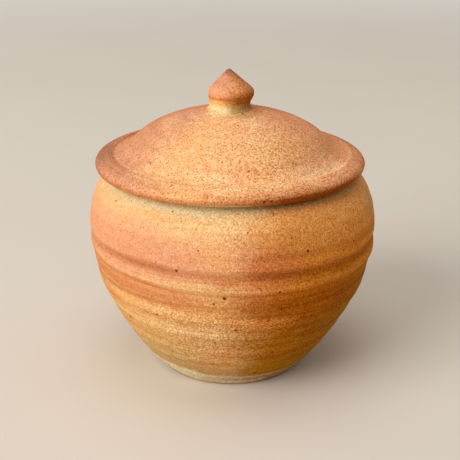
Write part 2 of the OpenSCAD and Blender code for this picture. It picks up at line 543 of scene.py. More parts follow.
# %% Throw the jar
TURNED = "turned_height"
PRESSED = "pressed"
INSIDE_RING_PITCH = 4.16 * MM
INSIDE_RING_DEPTH = 0.24 * MM
SWING = 0.5 * MM
SWING_Z = 48 * MM
SWING_HALF = 46 * MM
WIRE_PITCH = 2.8 * MM
WIRE_DEPTH = 0.14 * MM
WIRE_START = Vector((26 * MM, 34 * MM, 0))
JAR_STEPS = 320


def swing_at(height):
    """How far the belly swings to the right at a height."""
    return SWING * hump((height - SWING_Z) / SWING_HALF)


def outwards(point):
    return Vector((point.x, point.y, 0)).normalized()


def mark_jar(bm):
    bare = bm.verts.layers.float[BARE]
    turned = bm.verts.layers.float.new(TURNED)
    pressed = bm.verts.layers.float.new(PRESSED)
    for vert in bm.verts:
        out = outwards(vert.co)
        side = side_of(vert.co)
        swing = swing_at(vert.co.z)
        vert[turned] = turned_height(side, vert.co.z) / MM
        vert[pressed] = pressure(side)
        if vert[bare] < 1:
            vert.co += out * wall_mark(vert.co) * (1 - vert[bare])
        elif vert.co.z < FOOT_BEVEL / 2 and math.hypot(vert.co.x, vert.co.y) < FOOT_R - 2 * FOOT_BEVEL:
            from_wire = (vert.co - WIRE_START).length / WIRE_PITCH
            vert.co.z += WIRE_DEPTH * (0.5 + 0.5 * math.sin(math.tau * from_wire))
        elif FLOOR_Z - MM < vert.co.z < rim_z - MOUTH_H:
            vert.co += out * INSIDE_RING_DEPTH * ring_noise(vert.co, INSIDE_RING_PITCH)
        vert.co.x += swing


jar_bm = throw(jar_outline, JAR_STEPS)
mark_jar(jar_bm)
print("jar points", len(jar_bm.verts))

# %% [markdown]
# ## The outline of the lid
# The lid is a low dome with a brim. Between them runs a shallow gully, and under the lid a collar hangs in
# the jar's mouth, so that the lid can't slide off. The dome is hollow and its underside stayed bare. The
# outline runs from the crown out over the brim and back under it, and is spun like the jar's.

# %% Lid outline
lid_low, lid_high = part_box("lid")
brim_r = lid_high.x
crown_z = lid_high.z
collar_z = lid_low.z
BRIM_T = 4.6 * MM
LIP_H = 2.5 * MM
LIP_ROUND = 2.7 * MM
LIP_LEAN = 0.4 * MM
LIP_BARE = 0.6
BEAD_R = 45.7 * MM
BEAD_H = 5.6 * MM
BEAD_W = 1.2 * MM
BEAD_RISE = 0.3 * MM
GULLY_H = 6 * MM
DOME_R = 37.5 * MM
DOME_FOOT_H = 9.2 * MM
DOME_LEAN = 49
DOME_PULL = 10.7 * MM
DOME_T = 5.5 * MM
CROWN_LEAN = 14
CROWN_PULL = 8.4 * MM
ROOT_R = 8.5 * MM
COLLAR_R = 38 * MM
COLLAR_ROUND = 1.2 * MM
HOLLOW_R = 34.2 * MM
HOLLOW_H = 2 * MM
HOLLOW_PULL = 5 * MM
HOLLOW_FLAT = 20 * MM

crown_edge = at(ROOT_R, crown_z)
dome_foot = at(DOME_R, rim_z + DOME_FOOT_H)
gully_out = (DOME_FOOT_H - GULLY_H) / math.tan(math.radians(DOME_LEAN))
gully = at(DOME_R + gully_out, rim_z + GULLY_H)
bead = at(BEAD_R, rim_z + BEAD_H)
bead_foot = bead - at(BEAD_W, BEAD_RISE)
lip = at(brim_r, rim_z + LIP_H)
hollow_foot = at(HOLLOW_R, rim_z + HOLLOW_H)
hollow_top = at(0, crown_z - DOME_T)

dome = interpolate_bezier(
    crown_edge, leaning(crown_edge, CROWN_PULL, -CROWN_LEAN),
    leaning(dome_foot, DOME_PULL, 180 - DOME_LEAN), dome_foot, 56)
gully_curve = rounded(dome_foot, gully, bead_foot, 26)
brim_curve = rounded(bead, at(brim_r - LIP_LEAN, rim_z + BRIM_T), lip, 34)
lip_curve = rounded(lip, at(brim_r, rim_z), at(brim_r - LIP_ROUND, rim_z), 14)
collar_outer = rounded(
    at(COLLAR_R, collar_z + COLLAR_ROUND), at(COLLAR_R, collar_z), at(COLLAR_R - COLLAR_ROUND, collar_z), 6)
collar_inner = rounded(
    at(HOLLOW_R + COLLAR_ROUND, collar_z), at(HOLLOW_R, collar_z), at(HOLLOW_R, collar_z + COLLAR_ROUND), 6)
hollow = interpolate_bezier(
    hollow_foot, hollow_foot + at(0, HOLLOW_PULL), hollow_top + at(HOLLOW_FLAT, 0), hollow_top, 36)

lid_outline = [
    (straight(at(0, crown_z), crown_edge, 6), 0, 0),
    (dome, 0, 0),
    (gully_curve, 0, 0),
    (straight(bead_foot, bead, 8), 0, 0),
    (brim_curve, 0, 0),
    (lip_curve, 0, LIP_BARE),
    (straight(at(brim_r - LIP_ROUND, rim_z), at(COLLAR_R, rim_z), 8), LIP_BARE, 1),
    (collar_outer, 1, 1),
    (collar_inner, 1, 1),
    (hollow, 1, 1),
]
print("brim", round(brim_r / MM, 2), "crown", round(crown_z / MM, 2))

# %% [markdown]
# ## Marks on the lid
# The tool that trimmed the brim left a low step beside the gully, worn away in front, and a scratch on the
# left. The brim droops a little on the right, and soft rings run round the dome. The lid is loose, so it
# also sits a hair off centre. All of this is small, but it catches the light as the real lid does.

# %% Lid marks
STEP_R = 44.4 * MM
STEP_W = 0.55 * MM
STEP_H = 0.26 * MM
STEP_FADE_R = 47.6 * MM
STEP_FAINT_SIDE = -18
STEP_FAINT_HALF = 62
SCRATCH_R = 46.5 * MM
SCRATCH_HALF = 0.45 * MM
SCRATCH_DEPTH = 0.16 * MM
SCRATCH_SIDE = -78
SCRATCH_SPAN = 50
BRIM_DROOP = 0.3 * MM
LID_OFF = -0.45 * MM
DOME_RING_PITCH = 3.2 * MM
DOME_RING_DEPTH = 0.1 * MM
DOME_RING_WANDER = 16
CALM_CROWN = 4 * MM
LID_STEPS = 320


def dome_ring(point):
    radius = math.hypot(point.x, point.y)
    place = (point.x * DOME_RING_WANDER, point.y * DOME_RING_WANDER, radius / DOME_RING_PITCH)
    return noise.noise(Vector(place))


def mark_lid(bm):
    bare = bm.verts.layers.float[BARE]
    for vert in bm.verts:
        radius = math.hypot(vert.co.x, vert.co.y)
        side = side_of(vert.co)
        if vert[bare] == 0 and radius > ROOT_R:
            step = rise(radius, STEP_R, STEP_R + STEP_W) * (1 - rise(radius, STEP_R + STEP_W, STEP_FADE_R))
            step *= 1 - hump((side - STEP_FAINT_SIDE) / STEP_FAINT_HALF)
            scratch = hump((radius - SCRATCH_R) / SCRATCH_HALF)
            scratch *= hump((side - SCRATCH_SIDE) / SCRATCH_SPAN)
            droop = BRIM_DROOP * vert.co.x / brim_r * rise(radius, DOME_R, brim_r)
            rings = DOME_RING_DEPTH * dome_ring(vert.co) * rise(radius, ROOT_R, ROOT_R + CALM_CROWN)
            keep = rise(vert.co.z, rim_z, rim_z + LIP_H)
            vert.co.z += (STEP_H * step - SCRATCH_DEPTH * scratch - droop + rings) * keep
        elif vert[bare] == 1 and vert.co.z > rim_z + HOLLOW_H:
            vert.co.z += DOME_RING_DEPTH * dome_ring(vert.co)
        vert.co.x += LID_OFF


lid_bm = throw(lid_outline, LID_STEPS)
mark_lid(lid_bm)
print("lid points", len(lid_bm.verts))

# %% [markdown]
# ## The knob
# The knob is a little bulb, thrown from its own lump. It rises from a pinched neck to a cone with a blunt
# point and leans to the left, most of all at its point. It was luted on with slip, a wet clay whose thin
# skirt still shows round the neck. The skirt starts on the dome's own curve, so no gap opens under it.

# %% Knob outline
_, knob_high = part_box("lid_knob")
knob_r = knob_high.x
tip_z = knob_high.z
SLIP_R = 8.9 * MM
SLIP_EDGE = 0.05 * MM
NECK_R = 7.7 * MM
NECK_H = 1.8 * MM
KNOB_MID_H = 6 * MM
KNOB_ROUND = 1.2 * MM
TIP_R = 0.4 * MM
TIP_ROUND = 1 * MM

slip_foot = min(dome, key=lambda point: abs(point.x - SLIP_R))
slip_edge = slip_foot + at(0, SLIP_EDGE)
slip_inward = (slip_edge.x - NECK_R) / math.cos(math.radians(CROWN_LEAN))
neck_foot = leaning(slip_edge, slip_inward, 180 - CROWN_LEAN)
neck = at(NECK_R, crown_z + NECK_H)
widest = at(knob_r, crown_z + KNOB_MID_H)
neck_pull = at(0, (KNOB_MID_H - NECK_H) / 2)
turn_in = widest + at(0, KNOB_ROUND)
tip = at(TIP_R, tip_z)
cone = (tip - turn_in).normalized()
cone_start = turn_in + cone * KNOB_ROUND
cone_end = tip - cone * TIP_ROUND

knob_outline = [
    (straight(at(0, crown_z), crown_edge, 5), 1, 1),
    (straight(crown_edge, slip_foot, 4), 1, 1),
    (rounded(slip_edge, neck_foot, neck, 16), 0, 0),
    (interpolate_bezier(neck, neck + neck_pull, widest - neck_pull, widest, 22), 0, 0),
    (rounded(widest, turn_in, cone_start, 10), 0, 0),
    (straight(cone_start, cone_end, 26), 0, 0),
    (rounded(cone_end, tip, at(0, tip_z), 8), 0, 0),
]
print("knob", round(knob_r / MM, 2), "tip", round(tip_z / MM, 2))

# %% Lean the knob
NECK_SWING = 0.5 * MM
NECK_SWING_HALF = 4.2 * MM
TIP_SWING = 0.75 * MM
KNOB_OFF = -0.05 * MM
KNOB_RING_PITCH = 1.3 * MM
KNOB_RING_DEPTH = 0.09 * MM
KNOB_RING_WANDER = 60.0
KNOB_STEPS = 180


def mark_knob(bm):
    bare = bm.verts.layers.float[BARE]
    for vert in bm.verts:
        hold = rise(vert.co.z, crown_z, crown_z + NECK_H)
        swing = NECK_SWING * hump((vert.co.z - neck.z) / NECK_SWING_HALF) * hold
        swing += TIP_SWING * rise(vert.co.z, widest.z, tip_z)
        if vert[bare] == 0:
            ring = ring_noise(vert.co, KNOB_RING_PITCH, KNOB_RING_WANDER)
            vert.co += outwards(vert.co) * KNOB_RING_DEPTH * ring * hold
        vert.co.x += LID_OFF + (KNOB_OFF - LID_OFF) * hold - swing


knob_bm = throw(knob_outline, KNOB_STEPS)
mark_knob(knob_bm)
print("knob points", len(knob_bm.verts))

# %% [markdown]
# ## The colours of the kiln
# The clay is unglazed. Flame and soda vapour coloured it in the kiln: sand and ochre where they passed by,
# salmon, rose and rust where they licked the wall, and grey where the lid kept them off. All three pieces
# share these colours, so they are mixed once, as on a painter's palette.

# %% Palette
IVORY = fired(254, 222, 164)
CREAM = fired(254, 208, 142)
PEACH = fired(254, 186, 122)
APRICOT = fired(254, 203, 140)
SAND = fired(240, 196, 130)
DULL_SAND = fired(230, 192, 128)
WORN_SAND = fired(212, 178, 118)
TOASTED = fired(232, 180, 110)
OCHRE = fired(246, 186, 114)
DEEP_OCHRE = fired(192, 122, 12)
KHAKI = fired(190, 134, 16)
PALE_TAN = fired(246, 178, 100)
TAN = fired(244, 168, 84)
DULL_TAN = fired(212, 160, 98)
PALE_SALMON = fired(247, 184, 132)
SALMON = fired(242, 172, 128)
WARM_SALMON = fired(240, 162, 108)
DEEP_SALMON = fired(232, 156, 100)
ROSE = fired(212, 122, 68)
BLUSH = fired(212, 138, 86)
DUSKY_PINK = fired(222, 152, 113)
MAUVE = fired(178, 113, 78)
SMOKE = fired(146, 108, 100)
BROWN = fired(184, 112, 42)
TAWNY = fired(212, 134, 66)
OLIVE = fired(196, 154, 92)
AMBER = fired(248, 170, 92)
ORANGE = fired(232, 146, 54)
RUST = fired(204, 118, 22)
BURNT = fired(188, 104, 4)
BURNT_AND_SHADED_LIP = fired(164, 80, 0)
CONTACT_SHADOW_UMBER = fired(74, 30, 12)
IRON = fired(106, 20, 0)
GREY_CLAY = fired(230, 216, 170)
BONE = fired(238, 222, 184)
RAW_CLAY = fired(220, 184, 136)
print("rust as light", [round(v, 3) for v in RUST[:3]])

# %% [markdown]
# ## Flashed stoneware
# A single noise can't give such a surface, so the finish is layered as the kiln did it: ground colours up
# the wall, soft flashes at their places, throwing streaks, bare clay, and grains on top. The flashes are
# placed on the wall as if it were unrolled: degrees from the front, and millimetres up the jar or out from
# the lid's middle. A drifting cloud pushes every place about, so that no edge looks ruled.

# %% Stoneware recipe
WANDER_SCALE = 38.0
WANDER_SIDE = 26.0
WANDER_ALONG = 9.0
DRIFT_ALONG = 3.0
DRIFT_LINES = 0.8
DRIFT_FACING = 0.5


class Stoneware(Finish):
    """A finish with the unrolled wall at hand: side in degrees, along in millimetres."""

    def __init__(self, name, measure):
        super().__init__(name)
        x = self.add("ShaderNodeSeparateXYZ", {0: self.place}, "X")
        y = x.node.outputs["Y"]
        z = x.node.outputs["Z"]
        across = self.vector("MULTIPLY", self.place, (1.0, 1.0, 0.0))
        radius = self.vector("LENGTH", across, output="Value")
        side = self.maths("ARCTAN2", x, self.times(y, -1.0))
        self.height = self.times(z, 1 / MM)
        self.radius = self.times(radius, 1 / MM)
        self.along = {"radius": self.radius, "height": self.height}.get(measure)
        if self.along is None:
            self.along = self.attribute(measure)
        self.round = self.vector("NORMALIZE", across)
        flat = {"X": self.times(side, math.degrees(1)), "Y": self.along}
        unrolled = self.add("ShaderNodeCombineXYZ", flat)
        cloud = self.cloud(self.place, WANDER_SCALE, detail=3.0, rough=0.6, output="Color")
        self.drift = self.vector("SUBTRACT", cloud, (0.5, 0.5, 0.5))
        wide = self.vector("MULTIPLY", self.drift, (WANDER_SIDE, WANDER_ALONG, 0.0))
        self.wandering = self.vector("ADD", unrolled, wide)
        drift_y = self.add("ShaderNodeSeparateXYZ", {0: self.drift}, "Y")
        self.uneven = self.maths("ADD", self.along, self.times(drift_y, DRIFT_ALONG))
        self.hand_drawn = self.maths("ADD", self.along, self.times(drift_y, DRIFT_LINES))

    def attribute(self, name):
        return self.add("ShaderNodeAttribute", output="Fac", attribute_name=name)

    def facing(self, side, start, end, share=1.0):
        """How far the surface looks towards a side, from 0 before start to a share after end."""
        towards = self.vector("DOT_PRODUCT", self.round, tuple(round_the_jar(side, 1.0, 0.0)), "Value")
        blown = self.add("ShaderNodeSeparateXYZ", {0: self.drift}, "X")
        blown = self.maths("ADD", towards, self.times(blown, DRIFT_FACING))
        return self.ramp(blown, start, end, 0.0, share)

    def zone(self, value, reach, side):
        """How far a value is along its reach, and only where the surface faces a side."""
        return self.times(self.ramp(value, *reach), self.facing(*side))

    def ladder(self, value, rungs):
        """A colour that changes with a value in millimetres, from one rung to the next."""
        bottom, top = rungs[0][0], rungs[-1][0]
        share = self.maths("DIVIDE", self.maths("SUBTRACT", value, bottom), top - bottom)
        colour = self.add("ShaderNodeValToRGB", {0: share})
        steps = colour.node.color_ramp.elements
        while len(steps) < len(rungs):
            steps.new(0.5)
        for step, (height, shade) in zip(steps, rungs):
            step.position = (height - bottom) / (top - bottom)
            step.color = shade
        return colour


print("a flash wanders up to", WANDER_SIDE / 2, "degrees and", WANDER_ALONG / 2, "mm")

# %% [markdown]
# ## Flame on the jar
# The left of the jar stayed calm: sandy at the shoulder, salmon round the belly, ochre and sand below. The
# flame came past on the right and left orange and rust, deepest near the foot. Two ladders of colour up
# the wall hold these two sides, and the side that a point faces blends them. Over them lie the flashes,
# such as the rose patch on the groove: side, height, half its width, half its height, colour, strength.

# %% Jar flame
CALM_SIDE = [
    (0, DULL_SAND), (11, WORN_SAND), (20, DULL_SAND), (27, TOASTED), (32, CREAM), (40, OCHRE),
    (45, DEEP_SALMON), (49.4, DEEP_SALMON), (51, PALE_SALMON), (54, SALMON), (64, SALMON),
    (71, PALE_SALMON), (76, CREAM),
]
# the ORANGE rungs from 50.8 to 52.8 mm are partly painted highlight on the band's crest
FLAME_SIDE = [
    (0, DEEP_OCHRE), (11, KHAKI), (18, DEEP_OCHRE), (30, DEEP_OCHRE), (40, BURNT), (45, BURNT),
    (49.4, RUST), (50.8, ORANGE), (52.8, ORANGE), (55, RUST), (60, ORANGE), (67, ORANGE), (76, AMBER),
]
FLAME_REACH = (64, 0.36, 0.76)
JAR_FLASHES = [
    (-8, 73, 28, 10, CREAM, 1.0),
    (13, 71, 14, 9, AMBER, 0.8),
    (-6, 64, 20, 9, PEACH, 0.9),
    (25, 70, 22, 11, TAWNY, 0.6),
    # this patch and the next, on the band's crest, are partly painted highlight
    (-13, 52, 24, 5, CREAM, 0.95),
    (-13, 52, 16, 3, IVORY, 0.12),
    (-4, 54.8, 18, 2, TAWNY, 0.45),
    (-2, 56.4, 16, 4, ORANGE, 0.4),
    (-2, 60, 14, 4, PEACH, 0.5),
    (-5, 46, 18, 9, OCHRE, 0.9),
    (13, 61.5, 19, 11, ROSE, 0.7),
    (42, 71, 32, 12, TAN, 0.8),
    (78, 70, 24, 14, DULL_TAN, 0.8),
    (64, 61.8, 32, 2.8, DEEP_OCHRE, 0.6),
    (-30, 39, 30, 3.4, CREAM, 0.75),
    (4, 39, 14, 3.2, OCHRE, 0.55),
    (-15, 32, 36, 6, CREAM, 0.5),
    (-70, 44, 24, 16, DEEP_SALMON, 0.9),
    (-57, 42.8, 18, 2.4, CREAM, 0.75),
    (-57, 39, 14, 2.4, TAWNY, 0.45),
    (-60, 36, 18, 6, PALE_TAN, 0.5),
    (-40, 37, 18, 5, AMBER, 0.22),
    (14, 28, 24, 18, DEEP_OCHRE, 0.4),
    (13, 36.8, 17, 5.2, ORANGE, 0.7),
    (9, 36, 18, 5, AMBER, 0.45),
    (-6, 18, 24, 12, PALE_TAN, 0.6),
    (6, 30.6, 14, 3, DEEP_OCHRE, 0.35),
    (4, 23, 18, 9, DEEP_OCHRE, 0.25),
    (5, 52.5, 12, 5, AMBER, 0.3),
    (110, 45, 50, 24, DEEP_SALMON, 0.7),
    (-130, 40, 40, 20, ORANGE, 0.6),
]


def lay_flash(clay, colour, side, along, half_side, half_along, shade, amount):
    """Lays a soft patch over a colour, centred on the unrolled wall."""
    inputs = {
        "Vector": clay.wandering,
        "Location": (side, along, 0.0),
        "Scale": (half_side, half_along, 1.0),
    }
    local = clay.add("ShaderNodeMapping", inputs, vector_type="TEXTURE")
    away = clay.vector("LENGTH", local, output="Value")
    return clay.mix(clay.ramp(away, 1.0, 0.0, 0.0, amount), colour, shade)


def flame_colours(clay):
    calm = clay.ladder(clay.uneven, CALM_SIDE)
    flame = clay.ladder(clay.uneven, FLAME_SIDE)
    colour = clay.mix(clay.facing(*FLAME_REACH), calm, flame)
    for flash in JAR_FLASHES:
        colour = lay_flash(clay, colour, *flash)
    return colour


print(len(JAR_FLASHES), "flashes on the jar")

# %% [markdown]
# ## Lines of the fingers
# The groove holds painted shade, most where the finger pressed hardest, and a thin line of it lies under
# the band's step. Up the rest of the wall run paler and deeper lines, one for each pass of the fingers:
# painted light and shade where the rings of the wall catch the light or turn from it. They could be noise
# alone, but the eye knows the main ones, so they are a ladder of greys: height, and how pale. Streaks of
# noise, drawn out round the axis, break them up. All of these tint the flame's colours instead of covering
# them.

# %% Lines and streaks
PALE_STREAK = (1.19, 1.25, 1.34, 1.0)
DEEP_STREAK = (0.74, 0.62, 0.44, 1.0)
PALE_ABOVE = (0.52, 0.68)
DEEP_BELOW = (0.48, 0.32)


def ridge(clay, value, middle, half, share=1.0):
    """A soft line: a share where a value meets the middle, and 0 from half a width away."""
    away = clay.maths("ABSOLUTE", clay.maths("SUBTRACT", value, middle))
    return clay.ramp(away, half, 0.0, 0.0, share)


def streaks(clay, length, pitch, detail=2.0):
    """Noise drawn out round the axis: length as a share of a turn, pitch in millimetres."""
    along = clay.times(clay.along, 1 / pitch)
    drawn = clay.vector("MULTIPLY", clay.round, (1 / length, 1 / length, 0.0))
    drawn = clay.vector("ADD", drawn, clay.add("ShaderNodeCombineXYZ", {"Z": along}))
    return clay.cloud(drawn, 1.0, detail)


def tint_streaks(clay, colour, streaky, share):
    pale = clay.times(clay.ramp(streaky, *PALE_ABOVE), share)
    deep = clay.times(clay.ramp(streaky, *DEEP_BELOW), share)
    colour = clay.tint(pale, colour, PALE_STREAK)
    return clay.tint(deep, colour, DEEP_STREAK)


print("streaks tint by", PALE_STREAK[:3], "and", DEEP_STREAK[:3])

# %% Jar lines
GROOVE_LINES = [
    (GROOVE_Z / MM + 0.2, 3.0, 0.9),
    (GROOVE_Z / MM + 0.5, 1.2, 0.35),
    (BAND_Z / MM - 0.2, 0.7, 0.4),
]
GROOVE_SHADE = (0.75, 0.61, 0.49, 1.0)
OLIVE_GROOVE_SHADE = (0.75, 0.69, 0.52, 1.0)
OLIVE_GROOVE_SHADE_SIDE = (60, 0.4, 0.95)
THROWING_LINES = [
    (9, 0.4), (13, 0.62), (15, 0.3), (16.6, 0.64), (20.2, 0.3), (22.3, 0.76), (24.6, 0.45),
    (26.8, 0.58), (29.2, 0.28), (31.4, 0.68), (33, 0.56), (35.6, 0.6), (37.4, 0.16), (39.7, 0.9),
    (40.8, 0.6), (41.8, 0.68), (43.1, 0.1), (44.6, 0.58), (46.6, 0.24), (47.8, 0.8), (49.2, 0.5),
    (55, 0.54), (55.9, 0.22), (57.2, 0.66), (58, 0.3), (59.8, 0.68), (61.6, 0.78), (64.2, 0.12),
    (66.2, 0.8), (68.5, 0.28), (72.4, 0.72), (75, 0.5),
]
SHADED_RING_TINT = (0.84, 0.80, 0.74, 1.0)
LIT_RING_TINT = (1.14, 1.19, 1.26, 1.0)
LINES_BELOW = (62.0, 58.0)
LINES_SIDE = (40, 0.6, 0.95)
BROAD_STREAKS = (0.9, 3.0, 3.0)
BROAD_BELOW = (52.0, 44.0, 0.15, 0.48)
BROAD_SIDE = (50, 0.3, 0.9, 0.25)
FINE_STREAKS = (0.5, 1.1, 2.0)
FINE_BELOW = (67.0, 50.0, 0.08, 0.36)


def finger_lines(clay, colour):
    pressed = clay.attribute(PRESSED)
    groove_shade_tint = clay.mix(clay.facing(*OLIVE_GROOVE_SHADE_SIDE), GROOVE_SHADE, OLIVE_GROOVE_SHADE)
    for middle, half, share in GROOVE_LINES:
        # painted shade in the groove and under the band's step
        shade = clay.times(ridge(clay, clay.hand_drawn, middle, half, share), pressed)
        colour = clay.tint(shade, colour, groove_shade_tint)
    greys = [(height, (pale, pale, pale, 1.0)) for height, pale in THROWING_LINES]
    # painted light and shade of the throwing rings: paler where a ring catches the light, deeper where it
    # turns from it
    ring_light_and_shade = clay.mix(clay.ladder(clay.hand_drawn, greys), SHADED_RING_TINT, LIT_RING_TINT)
    shown = clay.maths("MAXIMUM", clay.ramp(clay.along, *LINES_BELOW), clay.facing(*LINES_SIDE))
    colour = clay.tint(shown, colour, ring_light_and_shade)
    broad = clay.maths("ADD", clay.ramp(clay.uneven, *BROAD_BELOW), clay.facing(*BROAD_SIDE))
    colour = tint_streaks(clay, colour, streaks(clay, *BROAD_STREAKS), broad)
    fine = clay.ramp(clay.uneven, *FINE_BELOW)
    return tint_streaks(clay, colour, streaks(clay, *FINE_STREAKS), fine)


print(len(THROWING_LINES), "throwing lines")

# %% [markdown]
# ## Under the lid
# Just below the lid the clay stayed grey, because the brim kept the flame off. On the right, olive
# painted shade darkens it instead, and a painted shadow lies right under the brim. The lid's own shadow
# gives some of that darkness, but not its colours, so the painted ones are laid by height. A side is given
# with how squarely a point has to face it: where the effect starts, where it is full, and how strong it is
# then.

# %% Jar under the lid
LID_SHADOW = (74.2, 77.2)
LID_SHADOW_LATER = (28, 0.78, 0.96, 1.8)
STRIP = ((75.8, 77.4), (32, 0.85, 0.97, 0.6))
SHIELDED = 0.9
SHIELDED_LESS = [(60, 0.45, 0.9, 0.6), (-70, 0.5, 0.95, 0.1)]
OLIVE_SHADE = (0.82, 0.86, 0.60, 1.0)
OLIVE_SIDE = (55, 0.6, 0.95)
PAINTED_LID_SHADOW = (0.62, 0.72, 0.64, 1.0)
PAINTED_LID_SHADOW_ZONE = ((76.7, 78.0), (38, 0.62, 0.95))


def under_the_lid(clay, colour):
    below_lid = clay.maths("SUBTRACT", clay.height, clay.facing(*LID_SHADOW_LATER))
    strip = clay.zone(clay.height, *STRIP)
    under_lid = clay.maths("MAXIMUM", clay.ramp(below_lid, *LID_SHADOW), strip)
    shielded = SHIELDED
    for side in SHIELDED_LESS:
        shielded = clay.maths("SUBTRACT", shielded, clay.facing(*side))
    colour = clay.mix(clay.times(shielded, under_lid), colour, GREY_CLAY)
    # olive painted shade under the brim on the right
    colour = clay.tint(clay.times(clay.facing(*OLIVE_SIDE), under_lid), colour, OLIVE_SHADE)
    # a painted shadow in a thin band right under the brim
    return clay.tint(clay.zone(clay.height, *PAINTED_LID_SHADOW_ZONE), colour, PAINTED_LID_SHADOW)


print("grey from", LID_SHADOW[0], "mm up")

# %% [markdown]
# ## The foot and the shaded side
# A bone-coloured edge shows at the foot, which was wiped clean: it is highest and palest on the left.
# Painted shade darkens it low in front, and more painted shade darkens the lowest millimetres towards the
# bottom, with a painted contact shadow at the sides where the wall turns under. On the right, below the
# band, the wall gets olive painted shade, and a paler olive at its edge is painted bounce light.

# %% Jar foot and shaded side
WIPED = (7.6, 4.9, 0.0, 0.95)
WIPED_HIGHER = (-50, 0.7, 1.0, 2.4)
WIPED_LESS = (55, 0.55, 0.98, 0.3)
BLEACHED = (1.07, 1.16, 1.20, 1.0)
BLEACHED_SIDE = (-35, 0.7, 0.95)
FOOT_SHADE = (0.62, 0.60, 0.56, 1.0)
FOOT_EDGE = (1.9, 0.2)
FOOT_SHADE_BAND = (4.0, 1.9)
FOOT_SHADE_BAND_SIDE = (25, 0.5, 0.95)
CONTACT_SHADOW = (3.6, 1.0)
CONTACT_SHADOW_NOT = (-8, 0.8, 0.98)
CONTACT_SHADOW_SHARE = 0.6
SHADED_ZONE = ((62.0, 50.0), (75, 0.45, 1.0))
OLIVE_BOUNCE_LIGHT = (1.0, 1.25, 0.7, 1.0)
BOUNCE_LIGHT_ZONE = ((52.0, 46.0), (80, 0.86, 1.0))
BOUNCE_LIGHT_ABOVE = (24.0, 34.0)


def foot_colours(clay, colour):
    wiped = clay.maths("SUBTRACT", clay.height, clay.facing(*WIPED_HIGHER))
    wiped = clay.maths("SUBTRACT", clay.ramp(wiped, *WIPED), clay.facing(*WIPED_LESS))
    colour = clay.mix(wiped, colour, BONE)
    colour = clay.tint(clay.times(wiped, clay.facing(*BLEACHED_SIDE)), colour, BLEACHED)
    # painted shade low on the foot, in front and to the right
    painted_foot_shade = clay.times(clay.facing(*FOOT_SHADE_BAND_SIDE), ridge(clay, clay.height, *FOOT_SHADE_BAND))
    colour = clay.tint(painted_foot_shade, colour, FOOT_SHADE)
    # painted shade, darker towards the bottom
    colour = clay.tint(clay.ramp(clay.height, *FOOT_EDGE), colour, FOOT_SHADE)
    # a painted contact shadow at the sides of the foot
    painted_contact_shadow = clay.maths("SUBTRACT", clay.ramp(clay.height, *CONTACT_SHADOW), clay.facing(*CONTACT_SHADOW_NOT))
    return clay.mix(clay.times(painted_contact_shadow, CONTACT_SHADOW_SHARE), colour, CONTACT_SHADOW_UMBER)


def shaded_wall(clay, colour):
    # olive painted shade, tinted like bounce light, on the shaded right below the band
    colour = clay.tint(clay.zone(clay.uneven, *SHADED_ZONE), colour, OLIVE_SHADE)
    # painted bounce light: a paler olive along the right edge
    painted_bounce_light = clay.times(clay.zone(clay.uneven, *BOUNCE_LIGHT_ZONE), clay.ramp(clay.uneven, *BOUNCE_LIGHT_ABOVE))
    return clay.tint(painted_bounce_light, colour, OLIVE_BOUNCE_LIGHT)


print("wiped up to", WIPED[0], "mm")

# %% [markdown]
# ## What lies in the clay
# Coarse sand gives the surface its tooth, pale grains stand proud and iron burns to dark specks. All three
# pieces were thrown from the same clay, so one function adds this to each finish. The grains are Voronoi
# cells in space: the surface cuts through them as a cut through real clay would. Sand and grains multiply
# the colour below them, so that they suit any flash, and a faint glint lifts the palest sand.

# %% Sand and grains
NOISE_SPAN = (0.3, 0.7)
NOISE_WIDE = (0.28, 0.72)
PALE_SAND = (1.22, 1.50, 2.00, 1.0)
DARK_SAND = (0.78, 0.55, 0.26, 1.0)
PALE_MOTTLE = (1.06, 1.15, 1.26, 1.0)
DARK_MOTTLE = (0.94, 0.85, 0.74, 1.0)
GRIT_SCALE = 1400.0
GRIT_SHARE = 0.65
MOTTLE_SCALE = 420.0
MOTTLE_LEAST = 0.5
ROUGH_SIDE = (70, -0.5, 0.8, 0.68)
ROUGH_ALL_ROUND = 0.2
GRAIN_CORE = 0.45


def sand_tints(clay, colour, coarse, glint):
    """Tints a colour with grit where the clay is coarse, and with sand and mottle everywhere."""
    gritty = clay.cloud(clay.place, GRIT_SCALE, detail=1.0)
    grit_tint = clay.mix(clay.ramp(gritty, *NOISE_SPAN), DARK_SAND, PALE_SAND)
    colour = clay.tint(clay.times(coarse, GRIT_SHARE), colour, grit_tint)
    roughened = clay.maths("ADD", clay.facing(*ROUGH_SIDE), ROUGH_ALL_ROUND)
    roughened = clay.maths("MAXIMUM", roughened, coarse)
    colour = clay.tint(roughened, colour, clay.mix(glint, DARK_SAND, PALE_SAND))
    mottled = clay.cloud(clay.place, MOTTLE_SCALE)
    mottle_tint = clay.mix(clay.ramp(mottled, *NOISE_WIDE), DARK_MOTTLE, PALE_MOTTLE)
    mottle_share = clay.maths("ADD", clay.times(coarse, 1 - MOTTLE_LEAST), MOTTLE_LEAST)
    return clay.tint(mottle_share, colour, mottle_tint)


def specks(clay, cell, size, keep, shift):
    """Grains in the clay where the surface cuts them, as a share from 0 to 1; sizes in millimetres."""
    moved = clay.vector("ADD", clay.place, (shift, shift, shift))
    inputs = {"Vector": moved, "Scale": 1 / (cell * MM)}
    distance = clay.add("ShaderNodeTexVoronoi", inputs, "Distance")
    chosen = clay.add("ShaderNodeSeparateColor", {0: distance.node.outputs["Color"]}, 0)
    limit = size / cell
    grain = clay.ramp(distance, limit, limit * GRAIN_CORE)
    return clay.times(grain, clay.maths("LESS_THAN", chosen, keep))


print("sand tints from", DARK_SAND[:3], "to", PALE_SAND[:3])

